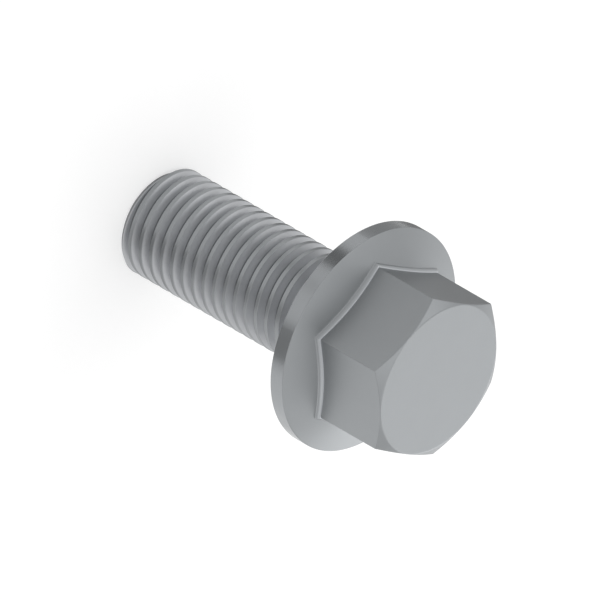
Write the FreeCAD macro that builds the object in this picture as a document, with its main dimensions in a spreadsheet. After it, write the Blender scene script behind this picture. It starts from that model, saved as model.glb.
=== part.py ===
"""A hexagon flange bolt, forged and thread-rolled as one piece of steel, in millimetres.

The axis of the bolt is Z. The bearing face under the flange lies in the plane z = 0, with the head above
it and the threaded shank below it. Two corners of the hexagon lie on the X axis.
"""
import FreeCAD, Part
import math
import os
import Sketcher

SIZES = {
    # the right-hand thread: a 60 degree groove between flat crests
    "thread_diameter": 12.0,
    "thread_pitch": 1.5,
    "thread_angle": 60.0,
    "crest_width": 0.44,
    # the shank, measured from the bearing face to its end
    "shank_length": 28.0,
    "end_chamfer": 0.2,
    # the plain neck under the flange, and the land between its taper and the end of the groove
    "neck_length": 2.6,
    "neck_step": 0.5,
    "neck_taper": 30.0,
    "neck_shoulder": 0.5,
    "run_out_land": 0.31,
    # the flange: a straight rim and a conical top
    "flange_diameter": 24.9,
    "rim_height": 1.7,
    "flange_slope": 20.0,
    # the wrench hexagon, its chamfered top and the strip round its foot
    "across_flats": 16.75,
    "head_height": 11.7,
    "chamfer_inset": 0.075,
    "head_chamfer": 30.0,
    "foot_rise": 0.45,
    "foot_reach": 0.35,
    # how far a cutter or a joining shape runs past the surface where it ends
    "overrun": 0.08,
}

CORNERS = 6

# lengths that several sketches share, as expressions on the sheet
CREST_RADIUS = "(sizes.thread_diameter / 2)"
NECK_RADIUS = "(%s - sizes.neck_step)" % CREST_RADIUS
TAPER_LENGTH = "(sizes.neck_step / tan(sizes.neck_taper))"
GROOVE_DEPTH = "((sizes.thread_pitch - sizes.crest_width) / 2 / tan(sizes.thread_angle / 2))"
FULL_THREAD_FROM = "(sizes.neck_length + %s + sizes.run_out_land + sizes.thread_pitch)" % TAPER_LENGTH
FLANGE_RADIUS = "(sizes.flange_diameter / 2)"
FLAT_RADIUS = "(sizes.across_flats / 2)"
CORNER_RADIUS = "(%s / cos(30))" % FLAT_RADIUS


def make_sheet(doc):
    """Write the driving dimensions into a spreadsheet, one named cell for each."""
    sheet = doc.addObject("Spreadsheet::Sheet", "sizes")
    for row, (name, value) in enumerate(SIZES.items(), start=1):
        sheet.set("A%d" % row, name)
        sheet.set("B%d" % row, str(value))
        sheet.setAlias("B%d" % row, name)
    doc.recompute()


def evaluate(body, expression):
    """Work out the present value of an expression."""
    return float(body.evalExpression(expression))


def origin_feature(body, role):
    """Find one of the body's own origin planes or axes."""
    return next(feature for feature in body.Origin.OriginFeatures if feature.Role == role)


def new_sketch(body, name, role):
    """Attach an empty sketch to one of the body's origin planes."""
    sketch = body.newObject("Sketcher::SketchObject", name)
    sketch.AttachmentSupport = [(origin_feature(body, role), "")]
    sketch.MapMode = "FlatFace"
    return sketch


def bind(sketch, constraint, expression):
    """Add a dimension whose value follows an expression."""
    index = sketch.addConstraint(constraint)
    sketch.setExpression("Constraints[%d]" % index, expression)


def close_loop(sketch, sides):
    """Join each of the first sides to the next one, and the last to the first."""
    for side in range(sides):
        sketch.addConstraint(Sketcher.Constraint("Coincident", side, 2, (side + 1) % sides, 1))


def profile(body, name, corners):
    """Sketch straight sides through corners on the XZ plane, each corner placed by two expressions."""
    sketch = new_sketch(body, name, "XZ_Plane")
    points = [FreeCAD.Vector(evaluate(body, x), evaluate(body, z), 0) for x, z in corners]
    for start, end in zip(points, points[1:] + points[:1]):
        sketch.addGeometry(Part.LineSegment(start, end))
    close_loop(sketch, len(points))
    for side, (x, z) in enumerate(corners):
        bind(sketch, Sketcher.Constraint("DistanceX", -1, 1, side, 1, points[side].x), x)
        bind(sketch, Sketcher.Constraint("DistanceY", -1, 1, side, 1, points[side].y), z)
    return sketch


def turn(body, kind, name, sketch):
    """Turn a sketch once round the bolt's axis."""
    feature = body.newObject(kind, name)
    feature.Profile = sketch
    feature.ReferenceAxis = (sketch, ["V_Axis"])
    feature.Angle = 360
    return feature


def make_blank(body):
    """Turn the shank with its end chamfer and neck, and the flange with its rim and conical top."""
    outline = profile(body, "blank_profile", [
        ("0", "-sizes.shank_length"),
        (CREST_RADIUS + " - sizes.end_chamfer", "-sizes.shank_length"),
        (CREST_RADIUS, "sizes.end_chamfer - sizes.shank_length"),
        (CREST_RADIUS, "-sizes.neck_length - " + TAPER_LENGTH),
        (NECK_RADIUS, "-sizes.neck_length"),
        (NECK_RADIUS, "-sizes.neck_shoulder"),
        (NECK_RADIUS + " + sizes.neck_shoulder", "0"),
        (FLANGE_RADIUS, "0"),
        (FLANGE_RADIUS, "sizes.rim_height"),
        ("0", "sizes.rim_height + %s * tan(sizes.flange_slope)" % FLANGE_RADIUS),
    ])
    return turn(body, "PartDesign::Revolution", "blank", outline)


def make_hexagon(body):
    """Stand the wrench hexagon on the flange, held in a circle through its corners."""
    sketch = new_sketch(body, "hexagon_profile", "XY_Plane")
    sketch.setExpression("AttachmentOffset.Base.z", "sizes.rim_height")
    radius = evaluate(body, CORNER_RADIUS)
    angles = [2 * math.pi * corner / CORNERS for corner in range(CORNERS)]
    points = [FreeCAD.Vector(radius * math.cos(angle), radius * math.sin(angle), 0) for angle in angles]
    for start, end in zip(points, points[1:] + points[:1]):
        sketch.addGeometry(Part.LineSegment(start, end))
    circle = Part.Circle(FreeCAD.Vector(0, 0, 0), FreeCAD.Vector(0, 0, 1), radius)
    guide = sketch.addGeometry(circle, True)
    close_loop(sketch, CORNERS)
    for side in range(CORNERS):
        sketch.addConstraint(Sketcher.Constraint("PointOnObject", side, 1, guide))
    for side in range(CORNERS - 1):
        sketch.addConstraint(Sketcher.Constraint("Equal", side, side + 1))
    sketch.addConstraint(Sketcher.Constraint("Coincident", guide, 3, -1, 1))
    sketch.addConstraint(Sketcher.Constraint("PointOnObject", 0, 1, -1))
    bind(sketch, Sketcher.Constraint("Radius", guide, radius), CORNER_RADIUS)
    pad = body.newObject("PartDesign::Pad", "hexagon")
    pad.Profile = sketch
    pad.setExpression("Length", "sizes.head_height - sizes.rim_height")
    return pad


def foot_section(body, name, beyond):
    """Sketch one end of the foot strip, at a distance beyond a flat.

    Its top is bowed like the flange's cone there. It stands foot_rise above the cone at the flat and
    comes down to the cone at foot_reach beyond the flat.
    """
    flat = "(%s + %s)" % (FLAT_RADIUS, beyond)
    half_width = flat + " * tan(30)"
    rise = " + sizes.foot_rise * (1 - %s / sizes.foot_reach)" % beyond
    cone = "sizes.rim_height + (%s - %s) * tan(sizes.flange_slope)"
    end_height = cone % (FLANGE_RADIUS, flat + " / cos(30)") + rise
    middle_height = cone % (FLANGE_RADIUS, flat) + rise
    width = evaluate(body, half_width)
    floor = evaluate(body, "sizes.rim_height")
    end = evaluate(body, end_height)
    middle = evaluate(body, middle_height)
    low_left, low_right = FreeCAD.Vector(-width, floor, 0), FreeCAD.Vector(width, floor, 0)
    top_left, top_right = FreeCAD.Vector(-width, end, 0), FreeCAD.Vector(width, end, 0)
    crown = FreeCAD.Vector(0, middle, 0)
    sketch = new_sketch(body, name, "XZ_Plane")
    sketch.setExpression("AttachmentOffset.Base.z", flat)
    for side in (
        Part.LineSegment(low_left, low_right),
        Part.LineSegment(low_right, top_right),
        Part.Arc(top_right, crown, top_left),
        Part.LineSegment(top_left, low_left),
    ):
        sketch.addGeometry(side)
    crown_point = sketch.addGeometry(Part.Point(crown), True)
    close_loop(sketch, 4)
    sketch.addConstraint(Sketcher.Constraint("Vertical", 1))
    sketch.addConstraint(Sketcher.Constraint("Vertical", 3))
    sketch.addConstraint(Sketcher.Constraint("Symmetric", 0, 1, 0, 2, -2))
    sketch.addConstraint(Sketcher.Constraint("PointOnObject", crown_point, 1, -2))
    sketch.addConstraint(Sketcher.Constraint("PointOnObject", crown_point, 1, 2))
    bind(sketch, Sketcher.Constraint("DistanceX", -1, 1, 1, 1, width), half_width)
    bind(sketch, Sketcher.Constraint("DistanceY", -1, 1, 1, 1, floor), "sizes.rim_height")
    bind(sketch, Sketcher.Constraint("DistanceY", -1, 1, 1, 2, end), end_height)
    bind(sketch, Sketcher.Constraint("DistanceY", -1, 1, 3, 1, end), end_height)
    bind(sketch, Sketcher.Constraint("DistanceY", -1, 1, crown_point, 1, middle), middle_height)
    return sketch


def make_foot(body):
    """Lay a sloping strip along the foot of one flat, and repeat it round the hexagon with mitred ends."""
    strip = body.newObject("PartDesign::AdditiveLoft", "foot_strip")
    strip.Profile = foot_section(body, "foot_inner_section", "(-sizes.overrun)")
    strip.Sections = [foot_section(body, "foot_outer_section", "(sizes.foot_reach + sizes.overrun)")]
    strip.Ruled = True
    pattern = body.newObject("PartDesign::PolarPattern", "foot")
    pattern.Originals = [strip]
    pattern.Axis = (origin_feature(body, "Z_Axis"), [""])
    pattern.Angle = 360
    pattern.Occurrences = CORNERS
    body.Tip = pattern
    return pattern


def chamfer_head(body):
    """Turn the conical chamfer on the top corners of the hexagon."""
    top_circle = FLAT_RADIUS + " - sizes.chamfer_inset"
    reach = CORNER_RADIUS + " + sizes.overrun"
    drop = "(%s - (%s)) * tan(sizes.head_chamfer)" % (reach, top_circle)
    above = "sizes.head_height + sizes.overrun"
    outline = profile(body, "head_chamfer_profile", [
        (top_circle + " - sizes.overrun / tan(sizes.head_chamfer)", above),
        (reach, "sizes.head_height - " + drop),
        (reach, above),
    ])
    return turn(body, "PartDesign::Groove", "head_chamfer", outline)


def cut_groove(body, name, section, height):
    """Sweep the groove's section along a right-hand helix of the thread's pitch."""
    groove = body.newObject("PartDesign::SubtractiveHelix", name)
    groove.Profile = section
    groove.ReferenceAxis = (section, ["V_Axis"])
    groove.Mode = "pitch-height-angle"
    groove.setExpression("Pitch", "sizes.thread_pitch")
    groove.setExpression("Height", height)
    return groove


def cut_thread(body):
    """Cut the thread from its first full turn down past the end, and let it run out towards the head."""
    outer = "%s + sizes.overrun" % CREST_RADIUS
    flare = "(%s + sizes.overrun) * tan(sizes.thread_angle / 2)" % GROOVE_DEPTH
    section = profile(body, "groove_section", [
        ("%s - %s" % (CREST_RADIUS, GROOVE_DEPTH), "-" + FULL_THREAD_FROM),
        (outer, "-%s - %s" % (FULL_THREAD_FROM, flare)),
        (outer, "-%s + %s" % (FULL_THREAD_FROM, flare)),
    ])
    past_the_end = "sizes.shank_length - %s + sizes.thread_pitch" % FULL_THREAD_FROM
    thread = cut_groove(body, "thread", section, past_the_end)
    thread.Reversed = True
    run_out = cut_groove(body, "thread_run_out", section, "sizes.thread_pitch")
    run_out.setExpression("Angle", "atan((%s + sizes.overrun) / sizes.thread_pitch)" % GROOVE_DEPTH)
    return thread, run_out


def check_features(doc, features):
    """Stop if a feature failed, or if one that adds or cuts metal left the volume as it was."""
    failed = [item.Name for item in doc.Objects if {"Invalid", "Error"} & set(item.State)]
    if failed:
        raise RuntimeError("these objects failed: %s" % ", ".join(failed))
    for before, after in zip(features, features[1:]):
        cuts = after.TypeId in ("PartDesign::SubtractiveHelix", "PartDesign::Groove")
        change = after.Shape.Volume - before.Shape.Volume
        print("%s changes the volume by %.2f mm3" % (after.Name, change))
        if change == 0 or (change < 0) != cuts:
            raise RuntimeError("%s should %s metal" % (after.Name, "cut" if cuts else "add"))


def export(part):
    """Check the finished shape and write it to the parts folder under its label."""
    shape = part.Shape
    if shape.isNull() or not shape.isValid() or len(shape.Solids) != 1:
        raise RuntimeError("%s isn't one valid solid" % part.Label)
    box = shape.optimalBoundingBox()
    print("%s: %.1f x %.1f x %.1f mm, %.0f mm3" % (
        part.Label, box.XLength, box.YLength, box.ZLength, shape.Volume))
    os.makedirs("parts", exist_ok=True)
    shape.exportStep("parts/%s.step" % part.Label)


doc = FreeCAD.newDocument("flange_bolt")
make_sheet(doc)
bolt = doc.addObject("PartDesign::Body", "flange_bolt")
bolt.Label = "flange_bolt"
bolt.Placement = FreeCAD.Placement()
blank = make_blank(bolt)
hexagon = make_hexagon(bolt)
foot = make_foot(bolt)
chamfer = chamfer_head(bolt)
thread, run_out = cut_thread(bolt)
doc.recompute()
check_features(doc, [blank, hexagon, foot, chamfer, thread, run_out])
export(bolt)
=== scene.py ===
# %% [markdown]
# # A flange bolt in satin steel
#
# This lesson dresses one machine part: a hexagon bolt with a wide flange under its head and a fine
# right-hand thread. The exact solid comes from the imported frame. Blender gives the same form a finer mesh,
# with the small rounded edges that catch light on real steel, then a finish, a studio and a camera.
#
# The script starts by loading the frame.

import math

import bpy
import numpy as np
from mathutils import Matrix, Vector


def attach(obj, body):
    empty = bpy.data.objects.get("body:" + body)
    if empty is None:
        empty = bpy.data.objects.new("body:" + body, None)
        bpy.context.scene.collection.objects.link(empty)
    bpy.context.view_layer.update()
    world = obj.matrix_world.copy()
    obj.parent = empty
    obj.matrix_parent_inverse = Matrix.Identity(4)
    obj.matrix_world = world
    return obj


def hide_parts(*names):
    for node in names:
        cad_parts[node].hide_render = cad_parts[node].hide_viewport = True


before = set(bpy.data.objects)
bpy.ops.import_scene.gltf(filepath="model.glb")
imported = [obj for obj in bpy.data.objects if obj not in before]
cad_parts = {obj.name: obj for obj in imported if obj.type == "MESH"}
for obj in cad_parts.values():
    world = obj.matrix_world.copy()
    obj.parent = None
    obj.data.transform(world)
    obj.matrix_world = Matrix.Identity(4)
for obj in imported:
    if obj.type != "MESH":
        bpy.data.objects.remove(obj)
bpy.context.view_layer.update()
MM = 0.001

# %% [markdown]
# ## The sizes
#
# A modelled copy of a solid is only as good as its sizes. These are the bolt's own dimensions, in
# millimetres, with the bearing face under the flange at z = 0. The roundings come last: a forged and
# rolled bolt has no perfectly sharp edge, and a rounding of a few hundredths of a millimetre is what makes
# an edge show as a fine line of light instead of a cut in the paper.

# %% The bolt's sizes
THREAD_RADIUS = 6.0
PITCH = 1.5
GROOVE_DEPTH = 0.918
GROOVE_ANGLE = math.radians(60)
SHANK_LENGTH = 28.0
END_CHAMFER = 0.2
NECK_RADIUS = 5.5
NECK_LENGTH = 2.6
NECK_TAPER = math.radians(30)
TAPER_LENGTH = (THREAD_RADIUS - NECK_RADIUS) / math.tan(NECK_TAPER)
UNDERHEAD_FILLET = 0.5
RUN_OUT_LAND = 0.31
FULL_THREAD_FROM = NECK_LENGTH + TAPER_LENGTH + RUN_OUT_LAND + PITCH
CUTTER_OVERRUN = 0.08
RUN_OUT_RISE = GROOVE_DEPTH + CUTTER_OVERRUN

FLANGE_RADIUS = 12.45
RIM_HEIGHT = 1.7
FLANGE_SLOPE = math.tan(math.radians(20))
FLAT_RADIUS = 8.375
HEAD_HEIGHT = 11.7
TOP_CIRCLE = 8.3
CHAMFER_SLOPE = math.tan(math.radians(30))
FOOT_RISE = 0.45
FOOT_REACH = 0.35

CORNER_ROUNDING = 0.12
TOP_SOFTNESS = 0.12
CHAMFER_SOFTNESS = 0.07
RIM_SOFTNESS = 0.07
NECK_SOFTNESS = 0.2
CREST_SOFTNESS = 0.05
ROOT_SOFTNESS = 0.2
print("groove half width %.3f mm" % (GROOVE_DEPTH * math.tan(GROOVE_ANGLE / 2)))

# %% [markdown]
# ## The columns
#
# The bolt is built like a barrel: upright columns of points stand round the axis, and every column holds
# the outline of the bolt at its own azimuth. The columns are 2.5 degrees apart, which keeps the flange's
# edge round to a few thousandths of a millimetre. Each corner of the hexagon gets five columns close
# together, so that it turns over a real rounding instead of a knife edge.

# %% Columns round the axis
SIDES = 6
SIDE_ANGLE = 360 / SIDES
HALF_SIDE = math.radians(SIDE_ANGLE / 2)
STEPS_A_SIDE = 24
CORNER_COLUMNS = (-1, -0.5, 0, 0.5, 1)


def corner_half_angle(flat):
    """Half the angle, seen from the axis, over which a rounded corner of the hexagon turns."""
    centre = (flat - CORNER_ROUNDING) / math.cos(HALF_SIDE)
    return math.atan2(
        CORNER_ROUNDING * math.sin(HALF_SIDE),
        centre + CORNER_ROUNDING * math.cos(HALF_SIDE),
    )


def column_azimuths():
    """The azimuth of every column in degrees, going round once."""
    spread = math.degrees(corner_half_angle(FLAT_RADIUS))
    azimuths = []
    for side in range(SIDES):
        corner = side * SIDE_ANGLE
        azimuths += [corner + share * spread for share in CORNER_COLUMNS]
        azimuths += [corner + step * SIDE_ANGLE / STEPS_A_SIDE for step in range(1, STEPS_A_SIDE)]
    return azimuths


def hexagon_radius(azimuth, flat):
    """How far the hexagon reaches from the axis at an azimuth, with its corners rounded."""
    centre = (flat - CORNER_ROUNDING) / math.cos(HALF_SIDE)
    from_corner = math.radians(abs((azimuth + SIDE_ANGLE / 2) % SIDE_ANGLE - SIDE_ANGLE / 2))
    if from_corner < corner_half_angle(flat):
        across = centre * math.sin(from_corner)
        return centre * math.cos(from_corner) + math.sqrt(CORNER_ROUNDING**2 - across**2)
    return flat / math.cos(HALF_SIDE - from_corner)


AZIMUTHS = column_azimuths()
print("%d columns" % len(AZIMUTHS))

# %% [markdown]
# ## Soft corners
#
# Along one column the head is a chain of straight lines: out over the top, down the conical chamfer, down
# the flat, out over the bead at its foot and the flange's cone, and back in under the rim. A soft edge
# could come from a Bevel modifier, but it would treat every edge alike and meet the sharp tips of the
# chamfer badly. Here each corner of the chain says how soft it is, and a small curve takes its place. Where
# two corners lie close together, the softness gives way, so the curves never cross.

# %% Curves for soft corners
CURVE_STEPS = (0, 1 / 3, 2 / 3, 1)
MOST_OF_A_SIDE = 0.4


def curve(start, corner, end, steps):
    """Points on a smooth curve from start to end that bends towards the corner."""
    return [
        tuple((1 - t) ** 2 * a + 2 * t * (1 - t) * c + t**2 * b for a, c, b in zip(start, corner, end))
        for t in steps
    ]


def towards(start, end, distance):
    """The point at a distance from start on the way to end."""
    share = distance / math.dist(start, end)
    return tuple(a + share * (b - a) for a, b in zip(start, end))


def soften(before, corner, after, softness):
    """A corner of the outline as a short curve between its two neighbours."""
    shorter = min(math.dist(before, corner), math.dist(corner, after))
    reach = min(softness, MOST_OF_A_SIDE * shorter)
    return curve(towards(corner, before, reach), corner, towards(corner, after, reach), CURVE_STEPS)


print("a soft corner has %d points" % len(CURVE_STEPS))

# %% [markdown]
# ## The head's outline
#
# Now the chain itself. The hexagon's foot ends in a narrow bead that lies on the flange's cone, as metal
# does where the forging die is rounded. Its outer side comes down steeply and its inner side lies nearly
# flat, so it is one curve that bends towards a point near the outer corner. Its first points lie close
# together, so that the shading turns at the edge and not across the bead. The fillet under the head is a
# curve too.

# %% Outline of the head, the flange and the neck
INNER_RING = 0.5 * TOP_CIRCLE
BEAD_FULLNESS = 0.8
BEAD_STEPS = (0, 0.05, 0.2, 0.4, 0.6, 0.8, 1)
FILLET_STEPS = (0, 0.2, 0.4, 0.6, 0.8, 1)


def cone_height(radius):
    """The height of the flange's conical top at a radius."""
    return RIM_HEIGHT + (FLANGE_RADIUS - radius) * FLANGE_SLOPE


def head_rows(azimuth):
    """The outline of head, flange and neck at an azimuth, as points of radius and height."""
    flat = hexagon_radius(azimuth, FLAT_RADIUS)
    foot = hexagon_radius(azimuth, FLAT_RADIUS + FOOT_REACH)
    top = (TOP_CIRCLE, HEAD_HEIGHT)
    brow = (flat, HEAD_HEIGHT - (flat - TOP_CIRCLE) * CHAMFER_SLOPE)
    foot_top = (flat, cone_height(flat) + FOOT_RISE)
    foot_end = (foot, cone_height(foot))
    brim = (flat + BEAD_FULLNESS * (foot - flat), cone_height(flat) + FOOT_RISE)
    rim_top = (FLANGE_RADIUS, RIM_HEIGHT)
    rim_bottom = (FLANGE_RADIUS, 0)
    fillet_out = (NECK_RADIUS + UNDERHEAD_FILLET, 0)
    fillet_in = (NECK_RADIUS, -UNDERHEAD_FILLET)
    neck_end = (NECK_RADIUS, -NECK_LENGTH)
    taper_end = (THREAD_RADIUS, -NECK_LENGTH - TAPER_LENGTH)
    rows = [(INNER_RING, HEAD_HEIGHT)]
    rows += soften(rows[0], top, brow, TOP_SOFTNESS)
    rows += soften(top, brow, foot_top, CHAMFER_SOFTNESS)
    rows += curve(foot_top, brim, foot_end, BEAD_STEPS)
    rows += soften(foot_end, rim_top, rim_bottom, RIM_SOFTNESS)
    rows += soften(rim_top, rim_bottom, fillet_out, RIM_SOFTNESS)
    rows += curve(fillet_out, (NECK_RADIUS, 0), fillet_in, FILLET_STEPS)
    rows += soften(fillet_in, neck_end, taper_end, NECK_SOFTNESS)
    rows += [taper_end]
    return rows


print("%d rows in the head's outline" % len(head_rows(0)))

# %% [markdown]
# ## The thread
#
# A rolled thread is one groove that winds round the shank: right-hand, 60 degrees between its flanks, with
# a small round root. Stacked rings would look nearly the same from afar and be wrong up close, and a Screw
# modifier can't let the groove run out. So each column holds the groove's section once for every turn, and
# the section's height follows the azimuth. Over the last turn under the neck it shrinks to nothing.

# %% The groove's section
EDGE_STEPS = (0, 0.5, 1)
ROOT_STEPS = (0, 0.25, 0.5, 0.75, 1)


def groove_section():
    """Rows across the groove from its upper edge to its lower one, as height from its middle and depth."""
    half_angle = GROOVE_ANGLE / 2
    edge = (GROOVE_DEPTH * math.tan(half_angle), 0)
    root = (0, GROOVE_DEPTH)
    on_crest = (edge[0] + CREST_SOFTNESS, 0)
    flank_top = towards(edge, root, CREST_SOFTNESS)
    flank_bottom = towards(root, edge, ROOT_SOFTNESS)
    upper = curve(on_crest, edge, flank_top, EDGE_STEPS)
    bowl = curve(flank_bottom, root, (-flank_bottom[0], flank_bottom[1]), ROOT_STEPS)
    lower = [(-height, depth) for height, depth in reversed(upper)]
    return upper + bowl + lower


SECTION = groove_section()
print("%d rows across the groove" % len(SECTION))

# %% [markdown]
# ## Winding the groove
#
# A column meets the groove once for every turn, one pitch further down each time. A turn is counted from
# the start of the full thread, and what lies beyond it, towards the head, is the run-out. Where a column's
# rows would pass the taper or the end face, they are pressed against it, and the end keeps its small
# chamfer.

# %% The threaded shank along one column
FIRST_TURN, LAST_TURN = 1, -16


def groove_share(turned):
    """How much of the groove's depth is left after so many turns beyond the full thread."""
    return min(1.0, max(0.0, 1 - turned * RUN_OUT_RISE / GROOVE_DEPTH))


def thread_rows(azimuth):
    """The outline of the threaded shank at an azimuth, from the taper down to the end chamfer."""
    heights, radii = [], []
    for turn in range(FIRST_TURN, LAST_TURN - 1, -1):
        turned = turn + azimuth / 360
        middle = -FULL_THREAD_FROM + PITCH * turned
        share = groove_share(turned)
        for height, depth in SECTION:
            heights.append(middle + height * share)
            radii.append(THREAD_RADIUS - depth * share)
    top, bottom = -NECK_LENGTH - TAPER_LENGTH, -SHANK_LENGTH + END_CHAMFER
    kept = np.clip(heights, bottom, top)
    rising = slice(None, None, -1)
    kept_radii = np.interp(kept, heights[rising], radii[rising])
    end_radius = np.interp(-SHANK_LENGTH, heights[rising], radii[rising])
    end = (min(end_radius, THREAD_RADIUS - END_CHAMFER), -SHANK_LENGTH)
    return [(float(r), float(z)) for r, z in zip(kept_radii, kept)] + [end]


print("%d turns" % (FIRST_TURN - LAST_TURN))

# %% [markdown]
# ## A skin that stores each point once
#
# Two columns share the points between them, and a mesh is only closed if both use the same ones. Merging by
# distance afterwards would do it, but could also close the fine run-out. So a point is looked up by its
# place before it is added, and a face whose corners have run together is left out or loses a corner.

# %% Points and faces


class Skin:
    """Points and faces of a closed mesh, with each point stored once."""

    def __init__(self):
        self.points = []
        self.faces = []
        self.known = {}

    def point(self, x, y, z):
        """The number of the point at a place in millimetres."""
        key = (round(x, 4), round(y, 4), round(z, 4))
        if key not in self.known:
            self.known[key] = len(self.points)
            self.points.append((x * MM, y * MM, z * MM))
        return self.known[key]

    def face(self, corners):
        """Add a face, unless its corners have run together."""
        kept = [c for i, c in enumerate(corners) if c != corners[i - 1]]
        if len(set(kept)) > 2:
            self.faces.append(kept)


print("a point is known by its place to 0.0001 mm")

# %% [markdown]
# ## Joining the columns
#
# Neighbouring columns are joined row by row with four-sided faces. The thread climbs one pitch a turn, so
# the last column meets the first one a whole groove section higher up. Rows that were pressed together at
# the ends of the thread, or where the groove has faded, become one point, which leaves a closed skin with
# no overlaps.

# %% Build the closed skin


def build_skin():
    """Join the head's and the thread's rows of all columns into one skin."""
    skin = Skin()
    columns = []
    for azimuth in AZIMUTHS:
        across, along = math.cos(math.radians(azimuth)), math.sin(math.radians(azimuth))
        head = [skin.point(r * across, r * along, z) for r, z in head_rows(azimuth)]
        thread = [skin.point(r * across, r * along, z) for r, z in thread_rows(azimuth)]
        columns.append((head, thread))
    top, end = skin.point(0, 0, HEAD_HEIGHT), skin.point(0, 0, -SHANK_LENGTH)
    for number, (head, thread) in enumerate(columns):
        next_head, next_thread = columns[(number + 1) % len(columns)]
        if number == len(columns) - 1:
            climbed = [next_thread[0]] * len(SECTION) + next_thread[:-1]
            next_thread = climbed[:len(thread) - 1] + [next_thread[-1]]
        left = [top] + head + thread + [end]
        right = [top] + next_head + next_thread + [end]
        for row in range(len(left) - 1):
            skin.face([left[row], left[row + 1], right[row + 1], right[row]])
    return skin


skin = build_skin()
triangles = sum(len(face) - 2 for face in skin.faces)
print("%d points, %d triangles" % (len(skin.points), triangles))

# %% [markdown]
# ## Shading
#
# Smooth shading turns every edge into a blend, and with plain averages the flat faces of the hexagon would
# look swollen near their edges. The size of a face therefore counts, cubed: a point on the rim of a large
# flat takes the flat's own direction, and the whole blend happens on the small curved faces between.

# %% Normals and the bolt's object


def soft_normals(points, faces):
    """A normal for each point, led by the largest faces round it, so that flat faces stay flat."""
    places = np.array(points)
    normals = np.zeros_like(places)
    for face in faces:
        corners = places[face]
        area_normal = np.cross(corners[2] - corners[0], corners[-1] - corners[1])
        size = np.linalg.norm(area_normal)
        normals[face] += area_normal * size**2
    return normals / np.linalg.norm(normals, axis=1, keepdims=True)


mesh = bpy.data.meshes.new("flange_bolt_skin")
mesh.from_pydata(skin.points, [], skin.faces)
mesh.shade_smooth()
mesh.normals_split_custom_set_from_vertices(soft_normals(skin.points, skin.faces))
bolt = bpy.data.objects.new("flange_bolt_skin", mesh)
bpy.context.scene.collection.objects.link(bolt)
print("object:", bolt.name)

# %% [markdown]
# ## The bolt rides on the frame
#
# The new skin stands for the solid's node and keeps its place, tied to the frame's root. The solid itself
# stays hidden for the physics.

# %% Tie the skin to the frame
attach(bolt, "root")
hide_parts("flange_bolt")
print("%s stands for the solid" % bolt.name)

# %% [markdown]
# ## Writing materials as sums
#
# Node trees get long when every addition is a node made by hand. A small class wraps one socket, so that
# an expression such as 1 - mask adds its own Math nodes. Any other kind of node comes from one method.

# %% A wire: one socket with arithmetic


class Wire:
    """One socket of a node tree, which can be used in plain arithmetic."""

    def __init__(self, tree, socket=None):
        self.tree = tree
        self.socket = socket

    def node(self, kind, settings=None, sockets=None, output=0):
        """Make a node of a kind, with its settings, then the values or wires of its sockets."""
        made = self.tree.nodes.new(kind)
        for name, value in (settings or {}).items():
            setattr(made, name, value)
        for name, value in (sockets or {}).items():
            if isinstance(value, Wire):
                self.tree.links.new(value.socket, made.inputs[name])
            else:
                made.inputs[name].default_value = value
        return Wire(self.tree, made.outputs[output] if made.outputs else None)

    def output(self, name):
        """Another output of the node that this wire comes from."""
        return Wire(self.tree, self.socket.node.outputs[name])

    def math(self, operation, first, second):
        """Add one Math node that works on two numbers or wires."""
        return self.node("ShaderNodeMath", {"operation": operation}, {0: first, 1: second})

    def clamp(self, value):
        """Keep a number between 0 and 1."""
        return self.math("MINIMUM", self.math("MAXIMUM", value, 0), 1)

    def mix(self, share, first, second):
        """Blend two colours: the first where the share is 0, the second where it is 1."""
        sockets = {"Factor": share, 6: first, 7: second}
        return self.node("ShaderNodeMix", {"data_type": "RGBA"}, sockets, output=2)

    def __add__(self, other):
        return self.math("ADD", self, other)

    def __radd__(self, other):
        return self.math("ADD", other, self)

    def __sub__(self, other):
        return self.math("SUBTRACT", self, other)

    def __rsub__(self, other):
        return self.math("SUBTRACT", other, self)

    def __mul__(self, other):
        return self.math("MULTIPLY", self, other)

    def __rmul__(self, other):
        return self.math("MULTIPLY", other, self)


def new_tree(name):
    """A material with an empty node tree, and a first wire to build from."""
    material = bpy.data.materials.new(name)
    material.use_nodes = True
    material.node_tree.nodes.clear()
    return material, Wire(material.node_tree)


print("a wire knows +, - and * from both sides")

# %% [markdown]
# ## Painted light and shade on the steel
#
# The whole bolt is one steel. The head, the flange, the neck and the crests of the thread keep the even,
# mid-grey satin of forging and tumbling. The flanks of the thread, and the bearing face under the flange
# that
# they mirror, are painted lighter: painted light that lifts the shade which the flange and the neighbouring
# turns cast into the groove. A painted shade lies down in the root. The flange's rim is trimmed by a die and
# is smoother.
#
# These places could be painted by hand, or each get a material of its own. But they all follow the shape,
# so masks made from the height and the distance from the axis place them exactly, and one material is
# enough.

# %% Masks for the thread, the bearing face and the rim
# The painted light on the flanks fades in over this distance below the crest.
CREST_BLEND = 0.08
ROOT_BLEND = 0.15
# How far up from the root the painted shade reaches, counted in root blends.
ROOT_SHADE_REACH = 1.6
FACE_SKIM = 0.02
RIM_SKIM = 0.01


def beyond(wire, value, limit):
    """A mask that is 1 where a length is more than a limit in millimetres."""
    return wire.math("GREATER_THAN", value, limit * MM)


def height_and_radius(wire, place):
    """The height above the bearing face and the distance from the axis."""
    axes = wire.node("ShaderNodeSeparateXYZ", None, {"Vector": place})
    across = wire.node("ShaderNodeCombineXYZ", None, {"X": axes.output("X"), "Y": axes.output("Y")})
    radius = wire.node("ShaderNodeVectorMath", {"operation": "LENGTH"}, {0: across}, output="Value")
    return axes.output("Z"), radius


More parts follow.
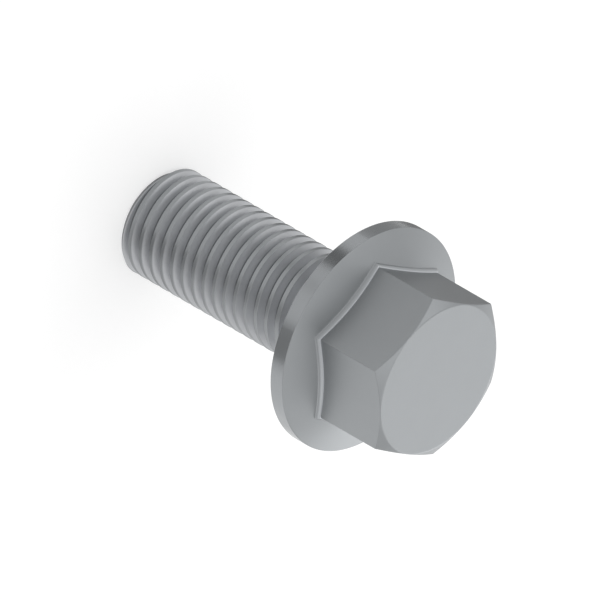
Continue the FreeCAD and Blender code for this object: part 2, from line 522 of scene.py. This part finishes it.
def light_shade_and_rim_masks(wire, place):
    """Masks for painted light on the groove's flanks and the bearing face, for painted shade down in the
    root, and for the rim.
    """
    height, radius = height_and_radius(wire, place)
    on_face = (1 - beyond(wire, height, FACE_SKIM)) * beyond(wire, radius, THREAD_RADIUS + CREST_BLEND)
    below_neck = 1 - beyond(wire, height, -NECK_LENGTH - TAPER_LENGTH)
    below_crest = wire.clamp((THREAD_RADIUS * MM - radius) * (1 / (CREST_BLEND * MM)))
    # Painted light: the flanks and the bearing face that they mirror are made lighter, against the shade in
    # the groove.
    bright = wire.math("MAXIMUM", below_crest * below_neck, on_face)
    above_root = (radius - (THREAD_RADIUS - GROOVE_DEPTH) * MM) * (1 / (ROOT_BLEND * MM))
    off_the_end = beyond(wire, height, FACE_SKIM - SHANK_LENGTH)
    # Painted shade down in the root of the groove.
    root_shade = wire.clamp(ROOT_SHADE_REACH - above_root) * below_neck * off_the_end
    on_rim = beyond(wire, radius, FLANGE_RADIUS - RIM_SKIM)
    return bright, root_shade, on_rim


print("the groove turns bright %.2f mm below the crest" % CREST_BLEND)

# %% [markdown]
# ## A painted highlight on the bead
#
# A highlight is painted on the bead round the hexagon's foot, which stands proud of the flange; it is
# strongest along its inner edge. Distance from the axis can't place a mask on a hexagon. The distance to
# the nearest pair of flats can: it is the largest of three widths, each measured square to one pair.

# %% A mask for the painted highlight on the bead
# How strong the painted highlight is at the bead's inner edge, and how fast it fades outwards.
HIGHLIGHT_AT_EDGE = 1.05
HIGHLIGHT_FADE = 1.2
BEAD_SKIM = 0.02


def bead_highlight(wire, place):
    """A mask for the painted highlight on the bead round the hexagon's foot, strongest at its inner edge."""
    axes = wire.node("ShaderNodeSeparateXYZ", None, {"Vector": place})
    x, y = axes.output("X"), axes.output("Y")
    from_middle = wire.math("ABSOLUTE", y, 0)
    for lean in (math.sin(HALF_SIDE), -math.sin(HALF_SIDE)):
        across = wire.math("ABSOLUTE", x * math.cos(HALF_SIDE) + y * lean, 0)
        from_middle = wire.math("MAXIMUM", from_middle, across)
    outwards = (from_middle - FLAT_RADIUS * MM) * (1 / (FOOT_REACH * MM))
    off_the_flat = wire.math("GREATER_THAN", outwards, BEAD_SKIM)
    return wire.clamp(HIGHLIGHT_AT_EDGE - HIGHLIGHT_FADE * outwards) * off_the_flat


print("the bead is %.2f mm wide" % FOOT_REACH)

# %% [markdown]
# ## The steel
#
# The colour of a metal goes into the base colour, metallic is 1, and the roughness makes the shine broad.
# A brushed or an anisotropic finish would draw lines that tumbled steel doesn't have. Soft noise varies the
# colour and the roughness by a few hundredths, and a very fine one raises dimples, because no real surface
# is perfectly even.

# %% Satin steel
SKIN_DARK = (0.275, 0.287, 0.296, 1)
SKIN_LIGHT = (0.305, 0.317, 0.327, 1)
# Painted light for the thread's flanks and the bearing face.
PAINTED_LIGHT_STEEL = (0.48, 0.49, 0.505, 1)
# Painted shade for the root.
PAINTED_ROOT_SHADE = (0.12, 0.125, 0.13, 1)
# Painted highlight for the bead's inner edge.
PAINTED_BEAD_HIGHLIGHT = (0.5, 0.52, 0.54, 1)
SKIN_ROUGHNESS = 0.4
RIM_ROUGHNESS = 0.25
CLOUDS = {"Scale": 260, "Detail": 3}
DIMPLES = {"Scale": 9000, "Detail": 2}
CLOUD_ROUGHNESS = 0.06
DIMPLE_ROUGHNESS = 0.04
DIMPLE_STRENGTH = 0.04
DIMPLE_HEIGHT = 0.02 * MM


def satin_steel():
    """Even satin steel with faint clouds and very fine dimples, with painted light on the flanks, the
    bearing face and the bead, and painted shade in the root.
    """
    material, wire = new_tree("bolt_steel")
    place = wire.node("ShaderNodeTexCoord", output="Object")
    clouds = wire.node("ShaderNodeTexNoise", None, {"Vector": place, **CLOUDS})
    dimples = wire.node("ShaderNodeTexNoise", None, {"Vector": place, **DIMPLES})
    bright, root_shade, on_rim = light_shade_and_rim_masks(wire, place)
    skin = wire.mix(clouds, SKIN_DARK, SKIN_LIGHT)
    # A painted highlight on the bead.
    with_bead_highlight = wire.mix(bead_highlight(wire, place), skin, PAINTED_BEAD_HIGHLIGHT)
    # Painted light on the flanks and the bearing face.
    with_painted_light = wire.mix(bright, with_bead_highlight, PAINTED_LIGHT_STEEL)
    # Painted shade in the root.
    colour = wire.mix(root_shade, with_painted_light, PAINTED_ROOT_SHADE)
    roughness = SKIN_ROUGHNESS + on_rim * (RIM_ROUGHNESS - SKIN_ROUGHNESS)
    roughness = roughness + (clouds - 0.5) * CLOUD_ROUGHNESS + (dimples - 0.5) * DIMPLE_ROUGHNESS
    fine_bumps = wire.node("ShaderNodeBump", None, {
        "Strength": DIMPLE_STRENGTH, "Distance": DIMPLE_HEIGHT, "Height": dimples,
    })
    surface = wire.node("ShaderNodeBsdfPrincipled", None, {
        "Base Color": colour, "Metallic": 1.0, "Roughness": roughness, "Normal": fine_bumps,
    })
    wire.node("ShaderNodeOutputMaterial", None, {"Surface": surface})
    return material


mesh.materials.append(satin_steel())
print("material:", mesh.materials[0].name)

# %% [markdown]
# ## The camera
#
# The photograph looks along the diagonal of a cube, with no perspective: an isometric view. The bolt stands
# on the end of its thread, so its axis, which is upright in the world, runs down to the right in the
# picture, and the camera is rolled. An orthographic camera is placed from three directions and one known
# point: the centre of the bearing face.

# %% The camera
FRAME_PIXELS = 600
PIXELS_PER_MM = 9.85
BEARING_CENTRE_PIXEL = (357.0, 332.5)
CAMERA_DISTANCE = 0.4

back = Vector((1, 1, 1)).normalized()
right = Vector((0, -1, 1)).normalized()
up = back.cross(right)
sideways = (BEARING_CENTRE_PIXEL[0] - FRAME_PIXELS / 2) / PIXELS_PER_MM * MM
upwards = (FRAME_PIXELS / 2 - BEARING_CENTRE_PIXEL[1]) / PIXELS_PER_MM * MM
viewpoint = back * CAMERA_DISTANCE - right * sideways - up * upwards

camera_data = bpy.data.cameras.new("camera")
camera_data.type = "ORTHO"
camera_data.ortho_scale = FRAME_PIXELS / PIXELS_PER_MM * MM
camera = bpy.data.objects.new("camera", camera_data)
camera.matrix_world = Matrix((
    (right.x, up.x, back.x, viewpoint.x),
    (right.y, up.y, back.y, viewpoint.y),
    (right.z, up.z, back.z, viewpoint.z),
    (0, 0, 0, 1),
))
bpy.context.scene.collection.objects.link(camera)
bpy.context.scene.camera = camera
print("the picture is %.1f mm wide" % (camera_data.ortho_scale / MM))

# %% [markdown]
# ## The floor
#
# The bolt stands on a plain white floor, which fills the whole picture. The floor is an ordinary matt
# surface, so it holds the bolt's soft shadow. On top of that the camera and the reflections see a little
# glow, which lifts it to full white in the picture and in the steel alike.

# %% The floor
FLOOR_SIZE = 3.0
FLOOR_COLOUR = (0.55, 0.55, 0.55, 1)
FLOOR_GLOW = 0.5


def white_floor_finish():
    """A matt white that the camera and reflections see at full white."""
    material, wire = new_tree("white_floor")
    seen = wire.node("ShaderNodeLightPath", output="Is Camera Ray")
    mirrored = wire.node("ShaderNodeLightPath", output="Is Glossy Ray")
    through = wire.node("ShaderNodeLightPath", output="Is Transmission Ray")
    surface = wire.node("ShaderNodeBsdfPrincipled", None, {
        "Base Color": FLOOR_COLOUR, "Roughness": 0.9, "Specular IOR Level": 0.0,
        "Emission Color": (1, 1, 1, 1), "Emission Strength": (seen + mirrored + through) * FLOOR_GLOW,
    })
    wire.node("ShaderNodeOutputMaterial", None, {"Surface": surface})
    return material


half = FLOOR_SIZE / 2
floor_z = -SHANK_LENGTH * MM
floor_mesh = bpy.data.meshes.new("floor")
floor_mesh.from_pydata(
    [(-half, -half, floor_z), (half, -half, floor_z), (half, half, floor_z), (-half, half, floor_z)],
    [], [(0, 1, 2, 3)],
)
floor_mesh.materials.append(white_floor_finish())
floor = bpy.data.objects.new("floor", floor_mesh)
bpy.context.scene.collection.objects.link(floor)
print("floor at z = %.1f mm" % (floor_z / MM))

# %% [markdown]
# ## Grey paper for the metal to reflect
#
# On an all-white floor every upright face of the metal would look the same. The photograph's bolt has a
# dark face on the right of its head and soft dark bands round its rim. A photographer gets these by laying
# paper where only the metal sees it. Wedges of paper lie on the floor and point at the bolt: seven are
# grey, and one behind it on the left is a little brighter than the floor. The thread stands low and mirrors
# the floor close by, while the head and the rim mirror it further out, so some wedges end early and some
# start late. They are kept out of the camera's view and cast no shadow, so only the reflections show them.

# %% Wedges of paper
PAPER_WEDGES = [
    # azimuth and width in degrees, from and to in mm, and brightness beside the floor
    ("paper_right", -103, 38, 8, 90, 0.28),
    ("paper_near_right", -76, 16, 8, 32, 0.2),
    ("paper_front_right", -58, 42, 32, 90, 0.5),
    ("paper_front", -2, 20, 32, 90, 0.24),
    ("paper_front_left", 30, 12, 32, 90, 0.85),
    ("paper_left", 84, 34, 8, 90, 0.42),
    ("paper_near_left", 135, 66, 8, 32, 0.8),
    ("paper_back_left", 138, 56, 34, 90, 1.15),
]
PAPER_STEPS = 8
PAPER_LIFT = 0.1 * MM


def paper_wedge(name, azimuth, width, start, end, brightness):
    """A flat wedge of paper on the floor, seen only in reflections."""
    points, faces = [], []
    for step in range(PAPER_STEPS + 1):
        turned = math.radians(azimuth + width * (step / PAPER_STEPS - 0.5))
        for reach in (start * MM, end * MM):
            points.append((reach * math.cos(turned), reach * math.sin(turned), floor_z + PAPER_LIFT))
    for step in range(PAPER_STEPS):
        near = 2 * step
        faces.append((near, near + 1, near + 3, near + 2))
    paper_mesh = bpy.data.meshes.new(name)
    paper_mesh.from_pydata(points, [], faces)
    material, wire = new_tree(name)
    grey = brightness * FLOOR_COLOUR[0]
    surface = wire.node("ShaderNodeBsdfPrincipled", None, {
        "Base Color": (grey, grey, grey, 1), "Roughness": 1.0, "Specular IOR Level": 0.0,
        "Emission Color": (1, 1, 1, 1), "Emission Strength": brightness * FLOOR_GLOW,
    })
    wire.node("ShaderNodeOutputMaterial", None, {"Surface": surface})
    paper_mesh.materials.append(material)
    paper = bpy.data.objects.new(name, paper_mesh)
    paper.visible_camera = paper.visible_diffuse = paper.visible_shadow = False
    bpy.context.scene.collection.objects.link(paper)


for wedge in PAPER_WEDGES:
    paper_wedge(*wedge)
print("%d wedges of paper" % len(PAPER_WEDGES))

# %% [markdown]
# ## Soft studio light
#
# Metal shows what stands round it more than what shines on it, so the light comes from large soft panels in
# an even grey room. The strongest panel stands low behind the bolt, where the top of the head mirrors it
# to the camera. Each panel is given by its direction and by its brightness, where 1 is as bright as white
# paper, and the lamp's power follows from its area.

# %% Room and panels
ROOM_GREY = 0.84
PANELS = [
    # azimuth and elevation in degrees, and brightness
    ("panel_behind", 216, 20, 1.36),
    ("panel_behind_right", 242, 18, 0.42),
    ("panel_high_left", 180, 55, 0.33),
    ("panel_high_right", 304, 57, 0.62),
    ("panel_overhead", 0, 90, 0.63),
    ("panel_left", 135, 15, 0.6),
]
PANEL_SIZE = 0.4
PANEL_DISTANCE = 0.6


def studio_room():
    """An even grey room all round."""
    world = bpy.data.worlds.new("studio_room")
    world.use_nodes = True
    background = world.node_tree.nodes["Background"]
    background.inputs["Color"].default_value = (ROOM_GREY, ROOM_GREY, ROOM_GREY, 1)
    bpy.context.scene.world = world


def panel(name, azimuth, elevation, brightness):
    """A round lamp at an azimuth and elevation that looks at the bolt."""
    lamp = bpy.data.lights.new(name, "AREA")
    lamp.shape = "DISK"
    lamp.size = PANEL_SIZE
    lamp.energy = brightness * math.pi * math.pi * (PANEL_SIZE / 2) ** 2
    holder = bpy.data.objects.new(name, lamp)
    turned, raised = math.radians(azimuth), math.radians(elevation)
    towards_lamp = Vector((
        math.cos(turned) * math.cos(raised), math.sin(turned) * math.cos(raised), math.sin(raised),
    ))
    holder.location = towards_lamp * PANEL_DISTANCE
    holder.rotation_mode = "QUATERNION"
    holder.rotation_quaternion = towards_lamp.to_track_quat("Z", "Y")
    bpy.context.scene.collection.objects.link(holder)


studio_room()
for settings in PANELS:
    panel(*settings)
bpy.context.scene.view_settings.view_transform = "Standard"
print("%d panels" % len(PANELS))
